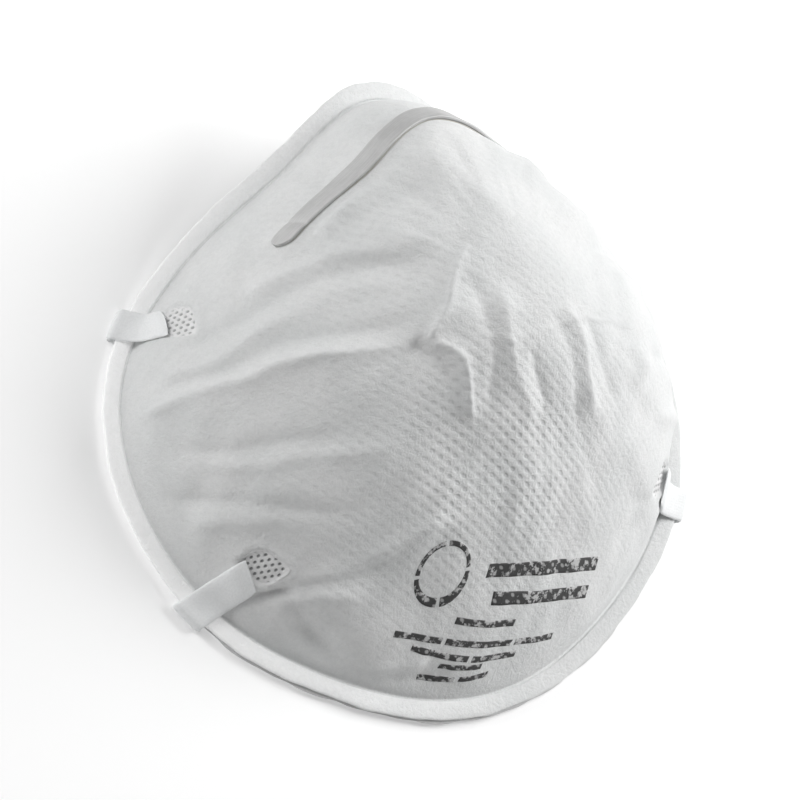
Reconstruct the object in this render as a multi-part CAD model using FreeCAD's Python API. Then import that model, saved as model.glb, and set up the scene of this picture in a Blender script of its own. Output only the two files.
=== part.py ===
import FreeCAD, Part
import math
import os

Vector = FreeCAD.Vector

# Disposable cup dust mask, lying on its strap ends with the dome up.
# +X is the wearer's left, +Y the nose, +Z out of the front of the dome.
# Everything is worked out about the crown axis and moved to the box centre at the end.

# rim outline: radius from the crown axis every 30 degrees, from the nose down to the chin
rim_radii = [52.5, 48.0, 54.0, 67.0, 72.5, 72.0, 73.5]
rim_width = 4.3           # pressed flange
nose_raise = 23.5         # the rim rises over the nose bridge
nose_raise_start = 0.25   # sine of the rim angle where it starts to rise

# dome profile: height = (1 - x**power)**(1 / root), from the crown out to the rim
crown_height = 53.5
crown_share = 0.06        # flat disc at the crown, as a share of the base radius
profile_power = {"nose": 2.35, "cheek": 1.3, "chin": 1.15}
profile_root = {"nose": 1.8, "cheek": 1.65, "chin": 1.1}

# cup layers, outside to inside: name, dome thickness, thickness where the rim is pressed
layers = [
    ("outer_cover", 0.4, 0.25),
    ("filter_media", 0.5, 0.15),
    ("moulded_shell", 1.0, 0.4),
    ("inner_lining", 0.3, 0.2),
]
lining_lip = 0.5          # the lining's cut edge stands out past the other layers

# head straps
strap_width = 7.0
strap_thickness = 0.9
strap_gap = 0.1           # free play between strap and rim
wall_gap = 0.25           # between the dome wall and the top of a strap's free part
joint_gap = 0.3           # split between a welded strap end and the free strap
strap_inboard = 6.0       # how far a strap end reaches into the cup under the rim
weld_foot_height = 9.5    # where the free part of a strap leaves the dome wall
weld_width = 8.0
weld_thickness = 0.3
straps = {
    # rim_x, rim_y: where the strap crosses the rim edge; heading: its slope outwards from the X axis
    # lean: how far the free strap leans from upright at rest; rise: its height inside the cup
    # weld: height of the weld on the sloping wall
    "upper": {"rim_x": 56.4, "rim_y": 17.8, "heading": 29.0, "lean": 15.0, "rise": 43.0, "weld": 9.5},
    "lower": {"rim_x": 60.2, "rim_y": -40.7, "heading": -20.0, "lean": -28.0, "rise": 41.0, "weld": 6.8},
}

# nose clip and nose foam: share of the way down the dome, half angle about the crown axis
clip_share = 0.83
clip_half_angle = 57.0
clip_width = 4.6
clip_thickness = 0.8
glue_start = 0.06         # nap of the fabric under the glue
glue_thickness = 0.15
foam_share = 0.86
foam_half_angle = 52.0
foam_width = 11.0
foam_thickness = 4.0

rim_lift = strap_thickness + strap_gap
stations = 60             # points round each closed section
section_count = 13
strip_columns = 31        # points along the nose clip and the nose foam


def rim_radius(angle):
    """Catmull-Rom curve through the rim radii, the same on the left and the right."""
    ring = rim_radii + rim_radii[-2:0:-1]
    place = ((90.0 - math.degrees(angle)) / 30.0) % len(ring)
    first = int(place)
    share = place - first
    before, near, far, after = [ring[(first + step) % len(ring)] for step in (-1, 0, 1, 2)]
    cubic = 2 * before - 5 * near + 4 * far - after + share * (3 * (near - far) + after - before)
    return near + 0.5 * share * (far - before + share * cubic)


def rim_height(angle):
    climb = max((math.sin(angle) - nose_raise_start) / (1 - nose_raise_start), 0.0)
    return rim_lift + nose_raise * climb ** 2


def blended(values, angle):
    nose = max(math.sin(angle), 0.0) ** 1.5
    chin = max(-math.sin(angle), 0.0) ** 1.5
    return values["cheek"] * (1 - nose - chin) + values["nose"] * nose + values["chin"] * chin


def depth_under(level):
    """Dome and rim thickness of the layers above a level; level 0 is the outside."""
    dome = sum(layer[1] for layer in layers[:level])
    pressed = sum(layer[2] for layer in layers[:level])
    return dome, pressed


rim_thickness = depth_under(len(layers))[1]


def base_radius(level, angle):
    return rim_radius(angle) - rim_width - 0.85 * depth_under(level)[0]


def pressed_height(level, angle):
    return rim_height(angle) + rim_thickness - depth_under(level)[1]


def dome_point(level, angle, share):
    """Point of a layer's surface: share 0 is the crown axis, 1 the foot of the dome."""
    radius = base_radius(level, angle) * share
    foot = pressed_height(level, angle)
    top = crown_height - depth_under(level)[0]
    out = min(max((share - crown_share) / (1 - crown_share), 0.0), 1.0)
    fall = (1 - out ** blended(profile_power, angle)) ** (1 / blended(profile_root, angle))
    return Vector(radius * math.cos(angle), radius * math.sin(angle), foot + (top - foot) * fall)


def dome_normal(level, angle, share):
    step = 0.004
    along = dome_point(level, angle + step, share) - dome_point(level, angle - step, share)
    down = dome_point(level, angle, share + step) - dome_point(level, angle, share - step)
    normal = down.cross(along)
    return normal.normalize()


def closed_curve(points):
    curve = Part.BSplineCurve()
    curve.interpolate(Points=points, PeriodicFlag=True)
    return Part.Wire([curve.toShape()])


def ring_angles():
    return [math.radians(-90 + 360.0 * i / stations) for i in range(stations)]


def dome_section(level, out):
    share = crown_share + (1 - crown_share) * out
    return closed_curve([dome_point(level, angle, share) for angle in ring_angles()])


def edge_section(level, lip):
    points = []
    for angle in ring_angles():
        radius = rim_radius(angle) + lip
        height = pressed_height(level, angle)
        points.append(Vector(radius * math.cos(angle), radius * math.sin(angle), height))
    return closed_curve(points)


def dome_faces(level):
    """The dome wall of a level, lofted through closed sections, and its crown disc."""
    outs = [math.sin(0.5 * math.pi * i / (section_count - 1)) for i in range(section_count)]
    sections = [dome_section(level, out) for out in outs]
    wall = Part.makeLoft(sections, False, False, False)
    crown = Part.Face(sections[0])
    return wall.Faces + [crown], sections[-1]


def closed_solid(faces):
    shell = Part.Shell(faces)
    shell.sewShape()
    shell = Part.Shell(shell.Faces)
    solid = Part.Solid(shell)
    if solid.Volume < 0:
        solid.reverse()
    return solid


def cup_layer(level, lip):
    """One layer of the cup: outer and inner dome, flange faces and the cut edge."""
    outer, outer_foot = dome_faces(level)
    inner, inner_foot = dome_faces(level + 1)
    outer_edge = edge_section(level, lip)
    inner_edge = edge_section(level + 1, lip)
    rings = [(outer_foot, outer_edge), (outer_edge, inner_edge), (inner_edge, inner_foot)]
    flanges = [Part.makeRuledSurface(first, second) for first, second in rings]
    faces = outer + inner
    for flange in flanges:
        faces = faces + flange.Faces
    return closed_solid(faces)


def grid_solid(lower, upper):
    """Closed solid between two grids of points, with ruled sides."""
    sheets = []
    for grid in (lower, upper):
        surface = Part.BSplineSurface()
        surface.interpolate(grid)
        sheets.append(surface)
    faces = [sheet.toShape() for sheet in sheets]
    for side in range(4):
        edges = []
        for sheet in sheets:
            low_u, high_u, low_v, high_v = sheet.bounds()
            curves = [sheet.uIso(low_u), sheet.uIso(high_u), sheet.vIso(low_v), sheet.vIso(high_v)]
            edges.append(curves[side].toShape())
        faces.append(Part.makeRuledSurface(edges[0], edges[1]))
    return closed_solid(faces)


def across(width, count):
    return [width * (i / (count - 1) - 0.5) for i in range(count)]


def draped_strip(level, share, half_angle, width, near, far):
    """Strip over the nose bridge, standing from near to far off a layer's surface."""
    lower = []
    upper = []
    for i in range(strip_columns):
        angle = math.radians(90 + half_angle * (1 - 2 * i / (strip_columns - 1)))
        step = 0.01
        slope = (dome_point(level, angle, share + step) - dome_point(level, angle, share)).Length / step
        shares = [share + offset / slope for offset in across(width, 5)]
        places = [(dome_point(level, angle, s), dome_normal(level, angle, s)) for s in shares]
        lower.append([place + normal * near for place, normal in places])
        upper.append([place + normal * far for place, normal in places])
    return grid_solid(lower, upper)


def surface_over(level, x, y):
    angle = math.atan2(y, x)
    share = math.hypot(x, y) / base_radius(level, angle)
    return dome_point(level, angle, share), dome_normal(level, angle, share)


def strap_point(strap, inwards, sideways, height):
    """Point placed along and across a strap's line, from where it crosses the rim edge."""
    heading = math.radians(strap["heading"])
    x = strap["rim_x"] - inwards * math.cos(heading) - sideways * math.sin(heading)
    y = strap["rim_y"] - inwards * math.sin(heading) + sideways * math.cos(heading)
    return Vector(x, y, height)


def wall_place(strap, sideways, height):
    """How far inwards along a strap's line the outside wall passes a height."""
    low, high = rim_width, 30.0
    for _ in range(40):
        middle = 0.5 * (low + high)
        place = strap_point(strap, middle, sideways, height)
        foot_radius = base_radius(0, math.atan2(place.y, place.x))
        inside = math.hypot(place.x, place.y) < foot_radius
        reached = inside and surface_over(0, place.x, place.y)[0].z > height
        low, high = (low, middle) if reached else (middle, high)
    return low


def weld_pad(strap):
    """Crushed end of the strap, welded flat on the dome wall."""
    lower = []
    upper = []
    for i in range(6):
        height = weld_foot_height + strap["weld"] * i / 5
        lower.append([])
        upper.append([])
        for sideways in across(weld_width, 4):
            guess = strap_point(strap, wall_place(strap, sideways, height), sideways, height)
            place, normal = surface_over(0, guess.x, guess.y)
            lower[-1].append(place + normal * glue_start)
            upper[-1].append(place + normal * (glue_start + weld_thickness))
    return grid_solid(lower, upper)


def rim_place(strap, sideways):
    """How far inwards along a strap's line the rim edge lies, off the middle of the strap."""
    low, high = -8.0, 8.0
    for _ in range(40):
        middle = 0.5 * (low + high)
        place = strap_point(strap, middle, sideways, 0.0)
        inside = math.hypot(place.x, place.y) < rim_radius(math.atan2(place.y, place.x))
        low, high = (low, middle) if inside else (middle, high)
    return low


def strap_profile(strap, sideways):
    """Side view of a welded strap end at one edge: down from the weld, round the rim, back under it."""
    half = 0.5 * strap_thickness
    fold_radius = 0.5 * rim_thickness + strap_gap + half
    centre = Vector(rim_place(strap, sideways) - lining_lip - 0.1, rim_lift + 0.5 * rim_thickness, 0)
    # the run starts clear of the dome wall over the whole width of the strap
    places = across(strap_width, 5)
    depths = [wall_place(strap, place, weld_foot_height) - rim_place(strap, place) for place in places]
    top_place = rim_place(strap, sideways) + min(depths) - half - wall_gap
    top = Vector(top_place, weld_foot_height, 0)
    reach = top - centre
    tangent = math.atan2(reach.y, reach.x) + math.acos(fold_radius / reach.Length)
    out = Vector(math.cos(tangent), math.sin(tangent), 0)
    middle_turn = 0.5 * (tangent + 1.5 * math.pi)
    between = Vector(math.cos(middle_turn), math.sin(middle_turn), 0)
    down = Vector(0, -1, 0)
    end = Vector(centre.x + lining_lip + rim_width + strap_inboard + strap_width, half, 0)

    def side(radius, edge):
        """One face of the strap as three edges: a run, the fold's arc and the flat part."""
        run_end = centre + out * radius
        fold_end = centre + down * radius
        run = Part.LineSegment(top + out * edge, run_end)
        fold = Part.Arc(run_end, centre + between * radius, fold_end)
        flat = Part.LineSegment(fold_end, end + down * edge)
        return [run.toShape(), fold.toShape(), flat.toShape()]

    outside = side(fold_radius + half, half)
    inside_face = side(fold_radius - half, -half)
    caps = [Part.LineSegment(top + out * half, top - out * half).toShape()]
    caps.append(Part.LineSegment(end + down * half, end - down * half).toShape())
    wire = Part.Wire(Part.__sortEdges__(outside + inside_face + caps))
    return Part.Face(wire)


def strap_end(strap):
    """Welded end of a strap: its profile drawn out along the rim, and cut off square to the X axis."""
    edge = 0.5 * strap_width
    near = strap_point(strap, rim_place(strap, -edge), -edge, 0.0)
    far = strap_point(strap, rim_place(strap, edge), edge, 0.0)
    profile = strap_profile(strap, -edge)
    origin = strap_point(strap, 0.0, -edge, 0.0)
    heading = math.radians(strap["heading"])
    inwards = Vector(-math.cos(heading), -math.sin(heading), 0)
    upwards = Vector(0, 0, 1)
    normal = inwards.cross(upwards)
    placing = FreeCAD.Matrix(
        inwards.x, upwards.x, normal.x, origin.x,
        inwards.y, upwards.y, normal.y, origin.y,
        inwards.z, upwards.z, normal.z, origin.z,
        0, 0, 0, 1,
    )
    profile.transformShape(placing)
    band = profile.extrude(far - near)
    cut = Part.makeBox(100, 200, 2 * strap_thickness, Vector(strap_axis(strap).x - 100, -100, -0.5))
    return band.cut(cut)


def strap_axis(strap):
    """Where the strap's joint axis, which is along X, meets its welded end."""
    reach = rim_place(strap, 0.0) + rim_width + strap_inboard
    return strap_point(strap, reach, 0.0, 0.5 * strap_thickness)


def free_strap(strap):
    """The free elastic band, stored as an arch inside the cup, from one end to the other."""
    axis = strap_axis(strap)
    reach = axis.x - joint_gap
    lean = math.radians(strap["lean"])
    up = Vector(0, -math.sin(lean), math.cos(lean))
    half = 0.5 * strap_thickness
    lower = []
    upper = []
    count = 33
    for i in range(count):
        x = -reach * math.cos(math.pi * i / (count - 1))
        bend = math.pi * x / (2 * reach)
        rise = strap["rise"] * math.cos(bend) ** 2
        slope = -strap["rise"] * math.pi / (2 * reach) * math.sin(2 * bend)
        middle = Vector(x, axis.y, axis.z) + up * rise
        # the band lies flat at its ends and turns to face along the lean above them
        twist = lean * min(rise / (0.35 * strap["rise"]), 1.0)
        broad = Vector(0, math.cos(twist), math.sin(twist))
        tangent = Vector(1, 0, 0) + up * slope
        thin = tangent.cross(broad)
        thin.normalize()
        lower.append([middle + broad * w - thin * half for w in across(strap_width, 3)])
        upper.append([middle + broad * w + thin * half for w in across(strap_width, 3)])
    return grid_solid(lower, upper)


def mirrored(shape):
    return shape.mirror(Vector(0, 0, 0), Vector(1, 0, 0))


parts = {}
for level, (layer_name, dome_thickness, pressed_thickness) in enumerate(layers):
    lip = lining_lip if layer_name == "inner_lining" else 0.0
    parts[layer_name] = cup_layer(level, lip)

clip_back = glue_start + glue_thickness
clip_front = clip_back + clip_thickness
parts["clip_glue"] = draped_strip(0, clip_share, clip_half_angle, clip_width, glue_start, clip_back)
parts["nose_clip"] = draped_strip(0, clip_share, clip_half_angle, clip_width, clip_back, clip_front)

inside = len(layers)
foam_front = -clip_back - foam_thickness
parts["foam_glue"] = draped_strip(inside, foam_share, foam_half_angle, foam_width, -clip_back, -glue_start)
parts["nose_foam"] = draped_strip(inside, foam_share, foam_half_angle, foam_width, foam_front, -clip_back)

weld_pads = []
for strap_name, strap in straps.items():
    left_end = strap_end(strap)
    parts[strap_name + "_left_strap_end"] = left_end
    parts[strap_name + "_right_strap_end"] = mirrored(left_end)
    left_pad = weld_pad(strap)
    weld_pads = weld_pads + [left_pad, mirrored(left_pad)]
    parts[strap_name + "_strap"] = free_strap(strap)
parts["strap_welds"] = Part.makeCompound(weld_pads)

# the middle of the rim's length goes to the origin
centre_shift = Vector(0, 0.5 * (rim_radii[-1] - rim_radii[0]), 0)

os.makedirs("parts", exist_ok=True)
for name, shape in parts.items():
    shape.translate(centre_shift)
    shape.exportStep("parts/" + name + ".step")
    print(name, "solids", len(shape.Solids), "valid", shape.isValid(), "volume", round(shape.Volume, 1))

for strap_name, strap in straps.items():
    axis = strap_axis(strap) + centre_shift
    print(strap_name, "joint axis through", round(axis.x, 2), round(axis.y, 2), round(axis.z, 2))
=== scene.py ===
import bpy
import numpy as np
from mathutils import Matrix, Vector


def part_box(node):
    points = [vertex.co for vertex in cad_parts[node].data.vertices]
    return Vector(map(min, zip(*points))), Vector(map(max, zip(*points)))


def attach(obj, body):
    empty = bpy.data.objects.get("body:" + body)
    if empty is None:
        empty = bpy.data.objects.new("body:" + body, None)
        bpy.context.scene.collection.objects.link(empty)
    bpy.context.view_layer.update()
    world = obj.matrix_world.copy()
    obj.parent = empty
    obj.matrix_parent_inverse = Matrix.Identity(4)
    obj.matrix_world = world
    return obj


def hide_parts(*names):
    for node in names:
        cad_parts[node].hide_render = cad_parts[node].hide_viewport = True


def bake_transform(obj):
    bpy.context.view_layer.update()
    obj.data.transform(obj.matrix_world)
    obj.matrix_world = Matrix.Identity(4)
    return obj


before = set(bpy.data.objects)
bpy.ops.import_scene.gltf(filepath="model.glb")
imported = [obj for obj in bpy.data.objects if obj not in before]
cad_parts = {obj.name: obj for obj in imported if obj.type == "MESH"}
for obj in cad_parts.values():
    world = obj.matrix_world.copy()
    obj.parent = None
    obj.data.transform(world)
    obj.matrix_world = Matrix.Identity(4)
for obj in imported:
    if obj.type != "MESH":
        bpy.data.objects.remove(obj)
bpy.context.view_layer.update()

scale = 0.001  # the formulas are in millimetres, the meshes in metres
chance = np.random.default_rng(41)

# cup shape

cup = {
    "rimRadii": [52.5, 48.0, 54.0, 67.0, 72.5, 72.0, 73.5],  # every 30 degrees, nose to chin
    "rimWidth": 4.3,
    "rimBottom": 1.0,
    "noseRaise": 23.5,
    "noseStart": 0.25,
    "height": 53.5,
    "crownShare": 0.06,
    "power": (2.35, 1.3, 1.15),   # nose, cheek, chin
    "root": (1.8, 1.65, 1.1),
    "middleY": 10.5,              # the crown stands this far behind the rim's middle
}


def between(before, near, far, after, share):
    # Catmull-Rom curve from near to far.
    cubic = 2 * before - 5 * near + 4 * far - after + share * (3 * (near - far) + after - before)
    return near + 0.5 * share * (far - before + share * cubic)


def rimRadius(angle):
    # Catmull-Rom curve through the rim radii, round the whole rim.
    radii = np.array(cup["rimRadii"])
    ring = np.concatenate([radii, radii[-2:0:-1]])
    place = ((90.0 - np.degrees(angle)) / 30.0) % len(ring)
    first = np.floor(place).astype(int)
    return between(*[ring[(first + step) % len(ring)] for step in (-1, 0, 1, 2)], place - first)


def rimHeight(angle):
    # Underside of the rim: level round the cheeks, raised over the nose by a squared ramp.
    climb = np.maximum((np.sin(angle) - cup["noseStart"]) / (1 - cup["noseStart"]), 0)
    return cup["rimBottom"] + cup["noseRaise"] * climb ** 2


def blended(values, angle):
    # Nose, cheek and chin values mixed by how far the angle turns to each.
    nose = np.maximum(np.sin(angle), 0) ** 1.5
    chin = np.maximum(-np.sin(angle), 0) ** 1.5
    return values[1] * (1 - nose - chin) + values[0] * nose + values[2] * chin


def baseRadius(angle, depth=0.0):
    return rimRadius(angle) - cup["rimWidth"] - 0.85 * depth


def bridgePush(angle, share):
    # One side of the bridge is pinched: the clip sits deeper there, with the cover swelling above it.
    turn = np.degrees(np.arctan2(np.sin(angle), np.cos(angle)))
    swell = 2.2 * np.exp(-((turn - 46) / 32) ** 2) * np.exp(-((share - 0.68) / 0.14) ** 2)
    dent = 2.3 * np.exp(-((turn - 49) / 28) ** 2) * np.exp(-((share - 0.86) / 0.06) ** 2)
    return swell - dent


def domePoint(angle, share, depth=0.0, pressed=0.0):
    # Height falls from the crown as (1 - x^power)^(1/root) while the radius grows with share.
    push = bridgePush(angle, share)
    radius = baseRadius(angle, depth) * share + 0.85 * push
    foot = rimHeight(angle) + 1.0 - pressed
    top = cup["height"] - depth
    out = np.clip((share - cup["crownShare"]) / (1 - cup["crownShare"]), 0, 1)
    fall = np.maximum(1 - out ** blended(cup["power"], angle), 0) ** (1 / blended(cup["root"], angle))
    height = foot + (top - foot) * fall + 0.5 * push
    return np.stack([radius * np.cos(angle), radius * np.sin(angle) + cup["middleY"], height], -1)


def unit(vectors):
    return vectors / np.maximum(np.linalg.norm(vectors, axis=-1, keepdims=True), 1e-9)


def domeNormal(angle, share, depth=0.0, pressed=0.0):
    # Cross product of the dome's slopes along the angle and down the share.
    step = 0.004
    share = np.clip(share, 0.01, 0.995)
    along = domePoint(angle + step, share, depth, pressed) - domePoint(angle - step, share, depth, pressed)
    down = domePoint(angle, share + step, depth, pressed) - domePoint(angle, share - step, depth, pressed)
    return unit(np.cross(down, along))


def smooth(value):
    value = np.clip(value, 0, 1)
    return value * value * (3 - 2 * value)


def flatPlace(angle, share):
    # The dome laid flat: the straight distance from the crown, out along the same angle.
    place = domePoint(angle, share)
    reach = np.hypot(np.hypot(place[..., 0], place[..., 1] - cup["middleY"]), cup["height"] - place[..., 2])
    return reach * np.cos(angle), reach * np.sin(angle)


def halved(low, high, test, steps=34):
    # Where test turns from true to false between low and high.
    for _ in range(steps):
        middle = 0.5 * (low + high)
        before = test(middle)
        low, high = np.where(before, middle, low), np.where(before, high, middle)
    return 0.5 * (low + high)


def shareAt(angle, reach):
    # Share whose straight distance from the crown is reach.
    def short(share):
        return np.hypot(*flatPlace(angle, share)) < reach
    return halved(np.zeros_like(reach), np.ones_like(reach), short, 30)


# head strap sizes

strapSize = {
    "width": 7.0, "thickness": 0.9, "gap": 0.1, "wallGap": 0.25, "inboard": 6.0,
    "footHeight": 9.5, "weldWidth": 8.0, "lip": 0.5, "sag": 2.2,
}
straps = {
    # rim, heading: where a strap crosses the rim edge and which way; lean, rise: tilt and height of its arch
    # foot, weld: where its weld starts on the wall and the weld's own height; slant: its climb across the band
    # sunk: its depth; lip: the raised edge round it; dark: its pits; laid: how far the band lies up the wall
    "upper": {
        "rim": (56.4, 17.8), "heading": 29.0, "lean": 15.0, "rise": 43.0,
        "foot": 9.2, "weld": 7.6, "slant": -0.55, "sunk": 0.05, "lip": 0.0, "dark": 0.75, "laid": 1.2,
    },
    "lower": {
        "rim": (60.2, -40.7), "heading": -20.0, "lean": -28.0, "rise": 41.0,
        "foot": 11.0, "weld": 5.6, "slant": 0.0, "sunk": 0.22, "lip": 0.16, "dark": 1.0, "laid": 2.5,
    },
}

# creases of the fabric

creases = {
    "scale": 1.28,
    "warp": 0.22,
    # height and half width in mm, sharpness of the crest, then (angle, share) points along the crease
    "lines": [
        (1.50, 1.9, 1.1, [(182, 1.0), (182, 0.92), (182, 0.82), (182, 0.69), (185, 0.51), (194, 0.33)]),
        (-1.00, 2.6, 1.7, [(178, 0.97), (179, 0.87), (178, 0.78), (177, 0.69), (178, 0.51), (185, 0.28)]),
        (0.60, 1.7, 1.6, [(176, 0.97), (176, 0.85), (172, 0.75), (170, 0.60)]),
        (-0.75, 2.6, 1.7, [(170, 0.95), (169, 0.86), (164, 0.75), (159, 0.65), (152, 0.51), (139, 0.34)]),
        (0.70, 2.4, 1.7, [(161, 0.86), (152, 0.68), (140, 0.5), (112, 0.39)]),
        (-0.60, 2.8, 1.8, [(142, 0.72), (126, 0.64), (102, 0.54)]),
        (0.60, 2.6, 1.8, [(144, 0.74), (126, 0.76), (104, 0.68)]),
        (-0.46, 2.0, 1.6, [(190, 0.95), (195, 0.81), (201, 0.70), (206, 0.6)]),
        (0.48, 1.7, 1.5, [(194, 0.91), (204, 0.73), (215, 0.56), (222, 0.46)]),
        (-0.60, 1.9, 1.5, [(194, 1.0), (200, 0.93), (206, 0.84), (215, 0.75), (226, 0.66)]),
        (0.45, 1.8, 1.5, [(202, 0.97), (207, 0.88), (214, 0.79)]),
        (0.85, 2.3, 1.5, [(222, 0.89), (230, 0.81), (235, 0.72), (244, 0.63), (258, 0.57)]),
        (-0.80, 2.1, 1.5, [(224, 0.89), (231, 0.81), (239, 0.72)]),
        (0.60, 1.8, 1.5, [(223, 0.95), (230, 0.87), (238, 0.82)]),
        (-1.15, 3.2, 1.7, [(218, 0.90), (226, 0.93), (236, 0.96), (244, 0.98)]),
        (-0.95, 1.5, 1.5, [(214, 0.985), (219, 0.955), (223, 0.92), (226, 0.88)]),
        (0.75, 2.2, 1.6, [(256, 0.92), (248, 0.96), (243, 0.985)]),
        (-0.60, 1.8, 1.6, [(262, 0.94), (255, 0.955), (248, 0.985)]),
        (1.20, 1.2, 1.1, [(198, 0.33), (189, 0.25), (172, 0.22), (145, 0.25), (118, 0.32)]),
        (1.20, 1.15, 1.1, [(196, 0.32), (206, 0.28), (216, 0.265), (226, 0.28), (238, 0.33), (246, 0.38)]),
        (-0.75, 1.8, 1.4, [(192, 0.37), (200, 0.33), (210, 0.31), (222, 0.33)]),
        (-0.60, 2.0, 1.5, [(150, 0.19), (176, 0.13), (220, 0.13), (243, 0.2), (249, 0.28), (250, 0.35)]),
        (0.55, 1.9, 1.5, [(138, 0.07), (230, 0.07), (261, 0.19), (271, 0.29), (277, 0.39)]),
        (-0.55, 1.7, 1.5, [(281, 0.15), (283, 0.25), (285, 0.37)]),
        (-0.42, 2.0, 1.5, [(336, 0.13), (320, 0.2), (311, 0.28), (306, 0.38), (303, 0.52)]),
        (0.50, 1.6, 1.4, [(348, 0.19), (324, 0.27), (315, 0.38), (310, 0.52)]),
        (-0.45, 2.0, 1.5, [(338, 0.28), (326, 0.40), (319, 0.56)]),
        (0.70, 4.4, 2.0, [(343, 0.56), (338, 0.61), (334, 0.66)]),
        (0.24, 0.55, 1.8, [(208, 0.21), (240, 0.13), (299, 0.14), (334, 0.25), (342, 0.39), (348, 0.62)]),
        (0.35, 1.6, 1.7, [(124, 0.98), (127, 0.9), (130, 0.84)]),
        (0.35, 1.7, 1.7, [(134, 0.99), (138, 0.88)]),
        (0.35, 1.6, 1.7, [(103, 0.98), (103, 0.87)]),
        (0.45, 3.0, 2.0, [(100, 0.72), (92, 0.45), (66, 0.28)]),
        # the far cheek, out of the same kind of creases
        (0.65, 2.2, 1.3, [(2, 0.98), (3, 0.82), (1, 0.66), (-6, 0.48)]),
        (-0.75, 2.4, 1.6, [(9, 0.97), (8, 0.8), (12, 0.6), (20, 0.42)]),
        (0.35, 2.4, 1.6, [(18, 0.9), (26, 0.72), (38, 0.52), (60, 0.4)]),
        (-0.25, 2.8, 1.7, [(30, 0.8), (46, 0.66), (70, 0.55)]),
        (0.20, 2.8, 1.7, [(40, 0.72), (58, 0.74), (76, 0.68)]),
        (-0.60, 2.2, 1.6, [(-12, 0.94), (-16, 0.8), (-19, 0.64)]),
        (0.60, 2.2, 1.6, [(-22, 0.97), (-25, 0.85), (-30, 0.74)]),
        (-0.50, 2.2, 1.6, [(-38, 0.98), (-42, 0.88), (-50, 0.8)]),
        (0.35, 1.6, 1.7, [(56, 0.98), (53, 0.88)]),
        (0.35, 1.7, 1.7, [(44, 0.99), (41, 0.88)]),
    ],
}


def catmull(points, steps):
    # Catmull-Rom curve through the points, with steps samples to each span.
    ends = np.concatenate([2 * points[:1] - points[1:2], points, 2 * points[-1:] - points[-2:-1]])
    share = np.arange(steps)[:, None] / steps
    spans = [between(*ends[k:k + 4], share) for k in range(len(points) - 1)]
    return np.concatenate(spans + [points[-1:]])


def creaseShape(x, y, height, width, sharpness, points):
    # height * exp(-(distance / width)^sharpness) from the nearest place on the crease, faded at both ends.
    line = np.radians([p[0] for p in points]), np.array([p[1] for p in points])
    line = catmull(np.stack(flatPlace(*line), -1), 5)
    steps = np.diff(line, axis=0)
    lengths = np.hypot(steps[:, 0], steps[:, 1])
    starts = np.concatenate([[0], np.cumsum(lengths)])
    nearest = np.full(x.shape, 1e9)
    place = np.zeros(x.shape)
    for start, step, length, before in zip(line, steps, lengths, starts):
        along = np.clip(((x - start[0]) * step[0] + (y - start[1]) * step[1]) / length ** 2, 0, 1)
        gap = np.hypot(x - start[0] - along * step[0], y - start[1] - along * step[1])
        closer = gap < nearest
        nearest = np.where(closer, gap, nearest)
        place = np.where(closer, (before + along * length) / starts[-1], place)
    ends = smooth(place / 0.14) * smooth((1 - place) / 0.3)
    return height * ends * np.exp(-(np.sqrt(nearest ** 2 + 0.04) / width) ** sharpness)


waves = {
    "directions": chance.uniform(0, 2 * np.pi, 40),
    "lengths": chance.uniform(7.0, 30.0, 40),
    "phases": chance.uniform(0, 2 * np.pi, 40),
}


def lumps(x, y, first, last):
    # Sum of plane waves in every direction, longer waves standing higher.
    total = np.zeros(x.shape)
    for k in range(first, last):
        turn, length = waves["directions"][k], waves["lengths"][k]
        total += length * np.sin((x * np.cos(turn) + y * np.sin(turn)) * 2 * np.pi / length + waves["phases"][k])
    return total / 18.0


def drapes(angle, share):
    # Fine wrinkles that run out from the crown: waves round the angle that drift with the share.
    total = np.zeros(angle.shape)
    for count, phase, drift in [(13, 0.3, 1.2), (19, 1.9, -2.0), (29, 4.1, 2.6), (41, 2.2, -3.1), (53, 5.2, 2.2)]:
        total += np.sin(count * angle + phase + drift * share * 3) * 13.0 / count
    return total * smooth((share - 0.25) / 0.3)


def slab(top, low, x, y):
    # Points, faces and flat places of a closed slab between two grids of the same size.
    rows, columns = top.shape[:2]
    count = rows * columns
    row, column = np.arange(rows - 1)[:, None], np.arange(columns - 1)[None, :]
    here = row * columns + column
    quads = np.stack([here, here + 1, here + columns + 1, here + columns], -1).reshape(-1, 4)
    down, side = np.arange(rows), np.arange(columns)
    border = [side, down[1:] * columns + columns - 1]
    border += [(rows - 1) * columns + side[:-1][::-1], down[1:-1][::-1] * columns]
    border = np.concatenate(border)
    after = np.roll(border, -1)
    walls = np.stack([border, border + count, after + count, after], -1)
    faces = np.concatenate([quads, quads[:, ::-1] + count, walls])
    flat = np.stack([x, y], -1).reshape(-1, 2) * emboss["flatScale"] + 0.5
    return np.concatenate([top.reshape(-1, 3), low.reshape(-1, 3)]), [faces], np.concatenate([flat, flat])


def superellipse(u, w, power):
    return (np.abs(u) ** power + np.abs(w) ** power) ** (1 / power)


def weldEdge(strap, angle, share):
    # Below 1 inside a strap's weld: a superellipse across the band and up the wall, the same on both sides.
    place = domePoint(angle, share)
    x, y = np.abs(place[..., 0]) - strap["rim"][0], place[..., 1] - cup["middleY"] - strap["rim"][1]
    heading = np.radians(strap["heading"])
    inwards = -x * np.cos(heading) - y * np.sin(heading)
    sideways = y * np.cos(heading) - x * np.sin(heading)
    up = (place[..., 2] - strap["foot"] - strap["slant"] * sideways) / strap["weld"] * 2 - 1
    edge = superellipse(up, 2 * sideways / strapSize["weldWidth"], 4)
    return np.where(inwards < 30, edge, 9.0)


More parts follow.
